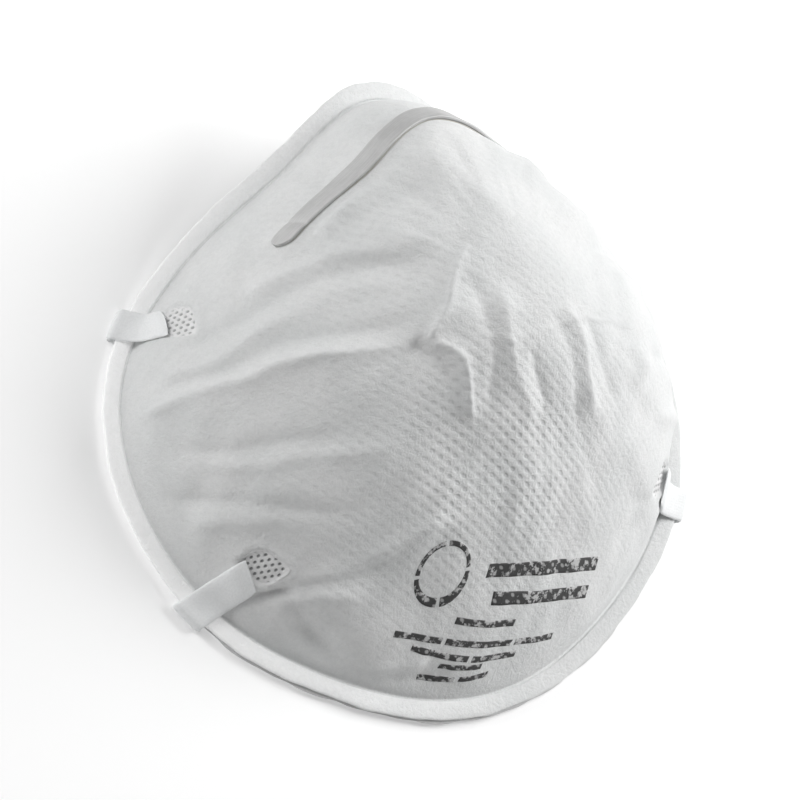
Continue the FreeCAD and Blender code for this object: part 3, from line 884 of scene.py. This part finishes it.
def strapMiddle(strap):
    # Middle surface of half a strap, rows along it and columns across: off the wall, down and round the rim,
    # back under it, then up the arch height = rise * cos^2 to the middle of the cup.
    half, thick, foot = 0.5 * strapSize["width"], strapSize["thickness"], strapSize["footHeight"]
    v = np.sin(0.5 * np.pi * np.linspace(-1, 1, 15)) * half
    foldRadius = 0.5 + strapSize["gap"] + 0.5 * thick
    ends = rimPlace(strap, np.array([-half, half]))
    edgeAt = ends[0] + (ends[1] - ends[0]) * (v + half) / (2 * half)
    depths = wallPlace(strap, v, foot + 0 * v) - rimPlace(strap, v)
    topDepth = depths.min() - 0.5 * thick - strapSize["wallGap"]
    centre = np.array([-strapSize["lip"] - 0.1, cup["rimBottom"] + 0.5])
    top = np.array([topDepth, foot])
    reach = top - centre
    tangent = np.arctan2(reach[1], reach[0]) + np.arccos(foldRadius / np.hypot(*reach))
    runEnd = centre + foldRadius * np.array([np.cos(tangent), np.sin(tangent)])
    rows = []
    # laid on the wall, cut square
    for height in np.linspace(foot + strap["laid"], foot, 9):
        square = wallPlace(strap, np.zeros(1), height)[0] + 0 * v
        x, y = strapPlace(strap, square, v)
        turn = np.arctan2(y, x)
        onDome = domePoint(turn, np.minimum(np.hypot(x, y) / baseRadius(turn), 1))[..., 2]
        laid = np.clip(onDome, height - 3.2, height + 3.2)
        rows.append((square - 0.45, laid))
    bow = np.linspace(0, 1, 24)[1:]
    sags = strapSize["sag"] * np.sin(np.pi * bow) * smooth(2.5 * bow)
    for place, sag, at in zip(top + (runEnd - top) * bow[:, None], sags, bow):
        kept = 1 - smooth(at * 1.3)
        straight = square - 0.45 + place[0] - top[0]
        skewed = edgeAt + place[0]
        level = place[1] - 0.6 * sag + (laid - top[1]) * kept
        rows.append((straight * kept + skewed * (1 - kept) + 0.8 * sag, level))
    for turn in np.linspace(tangent, 1.5 * np.pi, 16)[1:]:
        level = centre[1] + foldRadius * np.sin(turn) + 0 * v
        rows.append((edgeAt + centre[0] + foldRadius * np.cos(turn), level))
    axis = rimPlace(strap, np.zeros(1))[0] + cup["rimWidth"] + strapSize["inboard"]
    for share in np.linspace(0, 1, 22)[1:]:
        start = edgeAt + centre[0]
        end = axis - np.tan(np.radians(strap["heading"])) * v
        rows.append((start + (end - start) * share, 0.5 * thick + 0 * v))
    inwards, height = np.stack([r[0] for r in rows]), np.stack([r[1] for r in rows])
    x, y = strapPlace(strap, inwards, v[None, :] + 0 * inwards)
    outer = np.stack([x, y, height], -1)
    axisX, axisY = strapPlace(strap, axis, 0.0)
    turn = np.linspace(0, 0.5 * np.pi, 96)[1:]
    middleX = axisX * np.cos(turn)
    lift = strap["rise"] * np.cos(0.5 * np.pi * middleX / axisX) ** 2
    lean = np.radians(strap["lean"])
    twist = lean * np.minimum(lift / (0.35 * strap["rise"]), 1.0)
    centreLine = np.stack([middleX, axisY - np.sin(lean) * lift, 0.5 * thick + np.cos(lean) * lift], -1)
    broad = np.stack([0 * twist, np.cos(twist), np.sin(twist)], -1)
    inner = centreLine[:, None, :] + broad[:, None, :] * v[None, :, None]
    surface = np.concatenate([outer, inner])
    joint = len(outer)
    soft = surface.copy()
    for _ in range(30):
        soft[1:-1] = 0.25 * soft[:-2] + 0.5 * soft[1:-1] + 0.25 * soft[2:]
    row = np.arange(len(surface))
    near = smooth(1 - (np.abs(row - joint) - 5) / 11.0)
    near = np.maximum(near, smooth((row - 1) / 5.0) * smooth((30 - row) / 6.0))[:, None, None]
    surface = surface * (1 - near) + soft * near
    surface[-1, :, 0] = 0.0
    narrow = 1 - 0.10 * np.clip(1 - np.arange(len(surface)) / 5.0, 0, 1) ** 2.2  # the cut end has rounded corners
    middle = surface.mean(1, keepdims=True)
    return middle + (surface - middle) * narrow[:, None, None], v


def strapShape(strap, side):
    # The middle surface given its thickness, thinned to nothing at both edges and into the weld.
    surface, v = strapMiddle(strap)
    surface = surface + np.array([0, cup["middleY"], 0])
    along = np.gradient(surface, axis=0)
    across = surface[:, -1:] - surface[:, :1]
    normal = unit(np.cross(along, across + 0 * along))
    half = 0.5 * strapSize["width"]
    section = np.clip(1 - np.abs(v / half) ** 6, 0, 1) ** 0.5
    thin = 0.25 + 0.75 * smooth(np.arange(len(surface)) / 9.0)
    thick = 0.5 * strapSize["thickness"] * section[None, :] * thin[:, None]
    topSide = surface + normal * thick[..., None]
    lowSide = surface - normal * thick[..., None]
    rings = np.concatenate([topSide, lowSide[:, -2:0:-1]], 1)
    rings[..., 0] *= side
    # one more row close to the seam keeps it flat
    surface = np.concatenate([surface[:-1], 0.03 * surface[-2:-1] + 0.97 * surface[-1:], surface[-1:]])
    rings = np.concatenate([rings[:-1], 0.03 * rings[-2:-1] + 0.97 * rings[-1:], rings[-1:]])
    length = np.concatenate([[0], np.cumsum(np.linalg.norm(np.diff(surface[:, 7], axis=0), axis=-1))])
    flatV = np.concatenate([v, v[-2:0:-1]])
    flat = np.stack(np.broadcast_arrays(length[:, None], flatV[None, :]), -1) * emboss["flatScale"]
    return closedTube(rings, flat)


for strapName, strap in straps.items():
    for sideName, side in (("Left", 1), ("Right", -1)):
        half = makePiece(strapName + "Strap" + sideName, [strapShape(strap, side)], bandElastic)
        endNode = strapName + "_" + sideName.lower() + "_strap_end"
        lowest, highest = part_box(strapName + "_strap")
        middle = 0.5 * (lowest + highest)
        low = 0.00045  # the middle of the band's thickness, in metres
        start, end = (side * 0.0465, middle.y, low), (side * 0.033, middle.y, low)
        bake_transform(half)
        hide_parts(endNode, strapName + "_strap")
print("head straps done")


def weldShape(strap, side):
    # Crushed end on the wall: a thin pad sunk into the cover, with rows of pits and a raised lip.
    count = 96
    u, w = np.meshgrid(np.linspace(-1, 1, count), np.linspace(-1, 1, count), indexing="ij")
    sideways = 0.5 * strapSize["weldWidth"] * w
    height = strap["foot"] + strap["weld"] * (0.5 + 0.5 * u) + strap["slant"] * sideways
    turn, share = onWall(strap, sideways, height)
    x, y = flatPlace(turn, share)
    edge, roundEdge = superellipse(u, w, 4), superellipse(u, w, 2.4)
    first = (y * np.cos(weld["turn"]) - x * np.sin(weld["turn"])) / weld["pitch"]
    second = (x * np.cos(weld["turn"]) + y * np.sin(weld["turn"])) / weld["pitch"]
    a, b = first + second / 3 ** 0.5, 2 * second / 3 ** 0.5
    lattice = np.cos(2 * np.pi * a) + np.cos(2 * np.pi * b) + np.cos(2 * np.pi * (a - b))
    pits = smooth((lattice - 0.1) / 2.0) * smooth((0.98 - roundEdge) / 0.20)
    sunk = (strap["sunk"] + 0.45) * smooth((1.0 - edge) / 0.16)
    lip = strap["lip"] * np.exp(-((edge - 0.93) / 0.14) ** 2) * smooth((u + 0.9) / 0.6)
    stand = 0.07 - 0.50 * smooth((edge - 0.86) / 0.16) - sunk + lip - 0.26 * pits
    ground, normal = onCover(turn, share, False)
    top, low = ground + normal * stand[..., None], ground - normal * (1.25 + strap["sunk"])
    top[..., 0] *= side
    low[..., 0] *= side
    values = np.concatenate([(strap["dark"] * pits).ravel(), 0 * pits.ravel()])
    return slab(top, low, x, y), values


weld = {"pitch": 1.5, "turn": 0.6}
weldShapes, pitValues = [], []
for strap in straps.values():
    for side in (1, -1):
        shape, pits = weldShape(strap, side)
        weldShapes.append(shape)
        pitValues.append(pits)
weldPads = makePiece("weldPads", weldShapes, bandWelded, values={"pit": np.concatenate(pitValues)})
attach(weldPads, "cup")
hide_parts("strap_welds")
print("weld pads done")

# stamped marks

stamp = {
    # plain bars: both ends and the height on the flat fabric in mm, how far the middle sags, number of dashes
    "lift": 0.05, "root": 0.12, "gap": 1.2,
    "rows": [
        ((-5.5, -57.6), (33.0, -61.0), 3.0, 0.4, 1),
        ((-3.5, -63.8), (30.5, -67.0), 2.8, 0.6, 1),
        ((-13.2, -66.8), (5.5, -70.6), 1.5, 0.5, 1),
        ((-29.2, -66.2), (20.3, -76.0), 1.4, 2.6, 3),
        ((-24.1, -70.6), (8.2, -78.2), 1.4, 1.9, 2),
        ((-16.1, -76.6), (-2.7, -79.0), 1.2, 0.3, 1),
        ((-21.1, -78.6), (0.0, -81.4), 1.2, 0.8, 2),
    ],
    "ring": {"middle": (-17.5, -55.5), "radius": 6.6, "line": 1.1},
}


def drapedPatch(x, y):
    # Closed thin patch of ink that lies on the risen cover, from a grid of flat places.
    turn = np.arctan2(y, x)
    share = np.minimum(shareAt(turn, np.hypot(x, y)), 0.992)
    ground, normal = onCover(turn, share)
    return slab(ground + normal * stamp["lift"], ground - normal * stamp["root"], x, y)


patches = []
gap = stamp["gap"]
for start, end, height, sag, dashes in stamp["rows"]:
    reach = np.subtract(end, start)
    length = np.hypot(*reach)
    along, up = reach / length, np.array([-reach[1], reach[0]]) / length
    widths = chance.uniform(0.75, 1.25, dashes)
    widths = widths / widths.sum() * length
    at = 0.0
    for width in widths:
        across = np.linspace(at + 0.5 * gap, at + width - 0.5 * gap, max(int(width / 0.45), 4))
        tall = np.linspace(-0.5, 0.5, max(int(height / 0.4), 5)) * height
        a, b = np.meshgrid(across, tall, indexing="ij")
        a = a + 0.18 * b
        b = b - sag * (1 - (2 * a / length - 1) ** 2)
        x, y = start[0] + a * along[0] + b * up[0], start[1] + a * along[1] + b * up[1]
        patches.append(drapedPatch(x, y))
        at += width
ring = stamp["ring"]
turn, band = np.meshgrid(np.linspace(0, 2 * np.pi, 97), np.linspace(-0.5, 0.5, 5), indexing="ij")
for first in (0, 24, 48, 72):
    part = turn[first:first + 23]
    width = ring["line"] * (1 + 0.9 * smooth(-np.sin(part)))
    radius = ring["radius"] + band[first:first + 23] * width
    x, y = ring["middle"][0] + radius * np.cos(part), ring["middle"][1] + radius * np.sin(part)
    patches.append(drapedPatch(x, y))
stampedMarks = makePiece("stampedMarks", patches, inkStamped)
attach(stampedMarks, "cup")
print("stamped marks done")

# floor, light and camera

studio = {
    "floor": 0.93, "floorGlow": 0.18, "sky": 0.12,
    "lamps": {
        # which way from the mask, how far and how large in metres, and its power
        "keyLight": ((0.81, 0.04, 0.58), 0.78, 0.6, 6.1),
        "leftLight": ((-0.73, 0.56, 0.40), 0.85, 0.5, 3.1),
        "overLight": ((-0.05, 0.25, 0.95), 0.85, 0.5, 1.2),
        "lowLight": ((-0.45, -0.78, 0.44), 0.85, 0.45, 0.35),
    },
}

floorMaterial, tree, shader, place = newMaterial("paleFloor")
grain = noise(tree, place, 30.0)
coloured(tree, shader, grain, grey(studio["floor"]), grey(studio["floor"] - 0.01))
setSockets(shader, {"Roughness": 0.9, "Emission Color": grey(1.0), "Emission Strength": studio["floorGlow"]})
floorMesh = bpy.data.meshes.new("paleFloor")
floorMesh.from_pydata([(-3, -3, 0), (3, -3, 0), (3, 3, 0), (-3, 3, 0)], [], [(0, 1, 2, 3)])
floorMesh.materials.append(floorMaterial)
paleFloor = bpy.data.objects.new("paleFloor", floorMesh)
bpy.context.scene.collection.objects.link(paleFloor)

world = bpy.data.worlds.new("softSky")
bpy.context.scene.world = world
world.use_nodes = True
world.node_tree.nodes["Background"].inputs["Color"].default_value = grey(1.0)
world.node_tree.nodes["Background"].inputs["Strength"].default_value = studio["sky"]

view = {
    "right": (0.80347, -0.29545, 0.51686),
    "up": (0.16165, 0.94382, 0.28822),
    "target": (0.0, 0.0073, 0.019),
    "distance": 1.26857,
    "lens": 287.45,
    "shift": (-0.0378, -0.0548),
}
right = Vector(view["right"]).normalized()
up = Vector(view["up"])
up = (up - right * up.dot(right)).normalized()
back = right.cross(up)
target = Vector(view["target"])

for name, (way, far, size, power) in studio["lamps"].items():
    light = bpy.data.lights.new(name, "AREA")
    light.shape = "DISK"
    light.energy, light.size = power, size
    lamp = bpy.data.objects.new(name, light)
    place = target + Vector(way) * far
    lamp.matrix_world = Matrix.Translation(place) @ (target - place).to_track_quat("-Z", "Y").to_matrix().to_4x4()
    bpy.context.scene.collection.objects.link(lamp)

cameraData = bpy.data.cameras.new("camera")
cameraData.lens, cameraData.sensor_width = view["lens"], 36.0
cameraData.shift_x, cameraData.shift_y = view["shift"]
cameraData.clip_start, cameraData.clip_end = 0.05, 20.0
camera = bpy.data.objects.new("camera", cameraData)
turned = Matrix((right, up, back)).transposed().to_4x4()
camera.matrix_world = Matrix.Translation(target + back * view["distance"]) @ turned
bpy.context.scene.collection.objects.link(camera)
bpy.context.scene.camera = camera
bpy.context.scene.view_settings.view_transform = "Standard"
print("floor, light and camera done")


def plain(box):
    return [[float(x) for x in corner] for corner in box]
